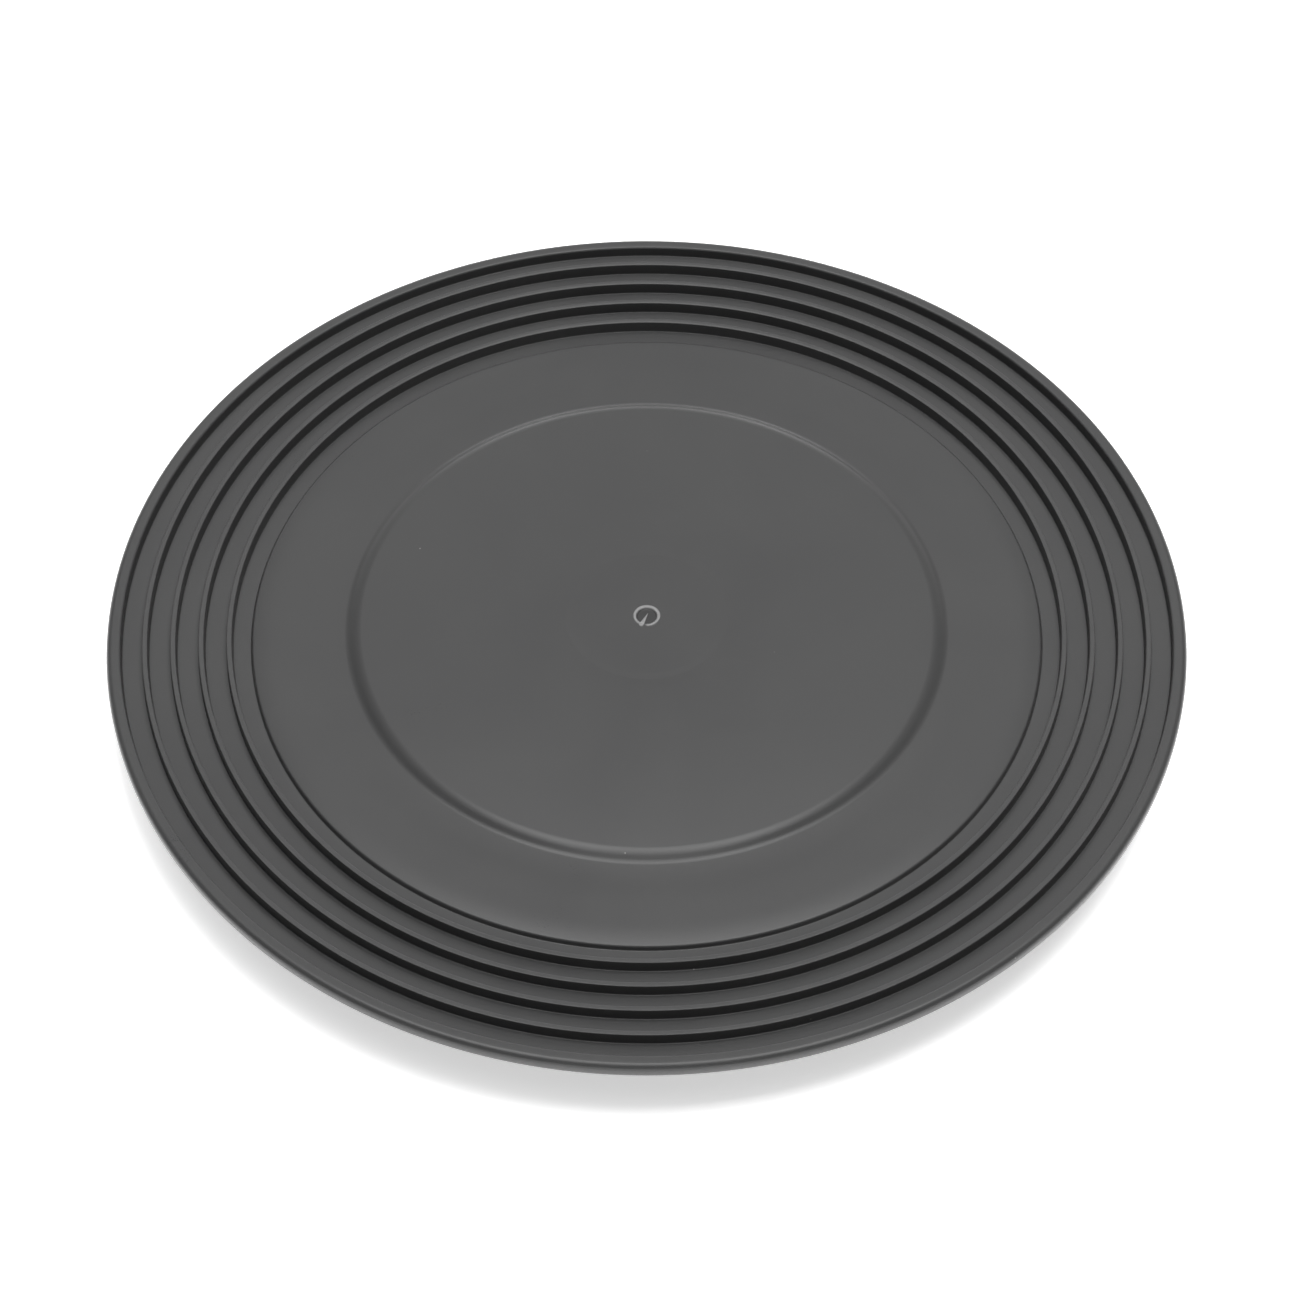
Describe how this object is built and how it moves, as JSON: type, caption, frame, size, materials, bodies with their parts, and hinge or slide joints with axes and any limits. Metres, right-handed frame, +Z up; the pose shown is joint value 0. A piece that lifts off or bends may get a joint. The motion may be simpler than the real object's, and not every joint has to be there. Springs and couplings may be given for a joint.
{
  "type": "banding wheel",
  "caption": "Low-profile pottery banding wheel: a round ribbed plastic wheel head turns on a caged ball bearing over a moulded base with rubber feet.",
  "frame": {"origin": "centre of the bench plane under the feet, on the axis of turning", "axes": "+Z up along the axis of turning; +X through foot_1 and ball_01 at rest"},
  "size_m": [0.3, 0.3, 0.0215],
  "materials": {
    "head_plastic": "dark grey polypropylene, satin, fine moulded grain",
    "base_plastic": "dark grey polypropylene, satin",
    "race_steel": "zinc-plated steel ring with a polished ball groove",
    "ball_steel": "polished bearing steel",
    "cage_nylon": "natural nylon, satin",
    "bush_acetal": "white acetal, smooth",
    "insert_brass": "turned brass",
    "washer_steel": "zinc-plated steel",
    "screw_steel": "zinc-plated steel",
    "foot_rubber": "black rubber, matt"
  },
  "bodies": {
    "base": {"base_dish": "base_plastic", "lower_race": "race_steel", "hub_bush": "bush_acetal", "foot_1": "foot_rubber", "foot_2": "foot_rubber", "foot_3": "foot_rubber", "foot_4": "foot_rubber", "foot_5": "foot_rubber", "foot_6": "foot_rubber"},
    "head": {"wheel_head": "head_plastic", "upper_race": "race_steel", "hub_insert": "insert_brass", "retaining_washer": "washer_steel", "pivot_screw": "screw_steel"},
    "cage": {"ball_cage": "cage_nylon"},
    "roller_01": {"ball_01": "ball_steel"},
    "roller_02": {"ball_02": "ball_steel"},
    "roller_03": {"ball_03": "ball_steel"},
    "roller_04": {"ball_04": "ball_steel"},
    "roller_05": {"ball_05": "ball_steel"},
    "roller_06": {"ball_06": "ball_steel"},
    "roller_07": {"ball_07": "ball_steel"},
    "roller_08": {"ball_08": "ball_steel"},
    "roller_09": {"ball_09": "ball_steel"},
    "roller_10": {"ball_10": "ball_steel"},
    "roller_11": {"ball_11": "ball_steel"},
    "roller_12": {"ball_12": "ball_steel"},
    "roller_13": {"ball_13": "ball_steel"},
    "roller_14": {"ball_14": "ball_steel"},
    "roller_15": {"ball_15": "ball_steel"},
    "roller_16": {"ball_16": "ball_steel"},
    "roller_17": {"ball_17": "ball_steel"},
    "roller_18": {"ball_18": "ball_steel"}
  },
  "joints": [
    {"name": "head_spin", "type": "hinge", "parent": "base", "child": "head", "pos_m": [0, 0, 0], "axis": [0, 0, 1], "continuous": true},
    {"name": "cage_spin", "type": "hinge", "parent": "base", "child": "cage", "pos_m": [0, 0, 0.0095], "axis": [0, 0, 1], "continuous": true},
    {"name": "ball_01_roll", "type": "hinge", "parent": "cage", "child": "roller_01", "pos_m": [0.076, 0, 0.0095], "axis": [1, 0, 0], "continuous": true},
    {"name": "ball_02_roll", "type": "hinge", "parent": "cage", "child": "roller_02", "pos_m": [0.07142, 0.02599, 0.0095], "axis": [0.9397, 0.342, 0], "continuous": true},
    {"name": "ball_03_roll", "type": "hinge", "parent": "cage", "child": "roller_03", "pos_m": [0.05822, 0.04885, 0.0095], "axis": [0.766, 0.6428, 0], "continuous": true},
    {"name": "ball_04_roll", "type": "hinge", "parent": "cage", "child": "roller_04", "pos_m": [0.038, 0.06582, 0.0095], "axis": [0.5, 0.866, 0], "continuous": true},
    {"name": "ball_05_roll", "type": "hinge", "parent": "cage", "child": "roller_05", "pos_m": [0.0132, 0.07485, 0.0095], "axis": [0.1736, 0.9848, 0], "continuous": true},
    {"name": "ball_06_roll", "type": "hinge", "parent": "cage", "child": "roller_06", "pos_m": [-0.0132, 0.07485, 0.0095], "axis": [-0.1736, 0.9848, 0], "continuous": true},
    {"name": "ball_07_roll", "type": "hinge", "parent": "cage", "child": "roller_07", "pos_m": [-0.038, 0.06582, 0.0095], "axis": [-0.5, 0.866, 0], "continuous": true},
    {"name": "ball_08_roll", "type": "hinge", "parent": "cage", "child": "roller_08", "pos_m": [-0.05822, 0.04885, 0.0095], "axis": [-0.766, 0.6428, 0], "continuous": true},
    {"name": "ball_09_roll", "type": "hinge", "parent": "cage", "child": "roller_09", "pos_m": [-0.07142, 0.02599, 0.0095], "axis": [-0.9397, 0.342, 0], "continuous": true},
    {"name": "ball_10_roll", "type": "hinge", "parent": "cage", "child": "roller_10", "pos_m": [-0.076, 0, 0.0095], "axis": [-1, 0, 0], "continuous": true},
    {"name": "ball_11_roll", "type": "hinge", "parent": "cage", "child": "roller_11", "pos_m": [-0.07142, -0.02599, 0.0095], "axis": [-0.9397, -0.342, 0], "continuous": true},
    {"name": "ball_12_roll", "type": "hinge", "parent": "cage", "child": "roller_12", "pos_m": [-0.05822, -0.04885, 0.0095], "axis": [-0.766, -0.6428, 0], "continuous": true},
    {"name": "ball_13_roll", "type": "hinge", "parent": "cage", "child": "roller_13", "pos_m": [-0.038, -0.06582, 0.0095], "axis": [-0.5, -0.866, 0], "continuous": true},
    {"name": "ball_14_roll", "type": "hinge", "parent": "cage", "child": "roller_14", "pos_m": [-0.0132, -0.07485, 0.0095], "axis": [-0.1736, -0.9848, 0], "continuous": true},
    {"name": "ball_15_roll", "type": "hinge", "parent": "cage", "child": "roller_15", "pos_m": [0.0132, -0.07485, 0.0095], "axis": [0.1736, -0.9848, 0], "continuous": true},
    {"name": "ball_16_roll", "type": "hinge", "parent": "cage", "child": "roller_16", "pos_m": [0.038, -0.06582, 0.0095], "axis": [0.5, -0.866, 0], "continuous": true},
    {"name": "ball_17_roll", "type": "hinge", "parent": "cage", "child": "roller_17", "pos_m": [0.05822, -0.04885, 0.0095], "axis": [0.766, -0.6428, 0], "continuous": true},
    {"name": "ball_18_roll", "type": "hinge", "parent": "cage", "child": "roller_18", "pos_m": [0.07142, -0.02599, 0.0095], "axis": [0.9397, -0.342, 0], "continuous": true}
  ],
  "couplings": [
    {"joint": "cage_spin", "follows": "head_spin", "ratio": 0.5},
    {"joint": "ball_01_roll", "follows": "head_spin", "ratio": -12.667},
    {"joint": "ball_02_roll", "follows": "head_spin", "ratio": -12.667},
    {"joint": "ball_03_roll", "follows": "head_spin", "ratio": -12.667},
    {"joint": "ball_04_roll", "follows": "head_spin", "ratio": -12.667},
    {"joint": "ball_05_roll", "follows": "head_spin", "ratio": -12.667},
    {"joint": "ball_06_roll", "follows": "head_spin", "ratio": -12.667},
    {"joint": "ball_07_roll", "follows": "head_spin", "ratio": -12.667},
    {"joint": "ball_08_roll", "follows": "head_spin", "ratio": -12.667},
    {"joint": "ball_09_roll", "follows": "head_spin", "ratio": -12.667},
    {"joint": "ball_10_roll", "follows": "head_spin", "ratio": -12.667},
    {"joint": "ball_11_roll", "follows": "head_spin", "ratio": -12.667},
    {"joint": "ball_12_roll", "follows": "head_spin", "ratio": -12.667},
    {"joint": "ball_13_roll", "follows": "head_spin", "ratio": -12.667},
    {"joint": "ball_14_roll", "follows": "head_spin", "ratio": -12.667},
    {"joint": "ball_15_roll", "follows": "head_spin", "ratio": -12.667},
    {"joint": "ball_16_roll", "follows": "head_spin", "ratio": -12.667},
    {"joint": "ball_17_roll", "follows": "head_spin", "ratio": -12.667},
    {"joint": "ball_18_roll", "follows": "head_spin", "ratio": -12.667}
  ]
}
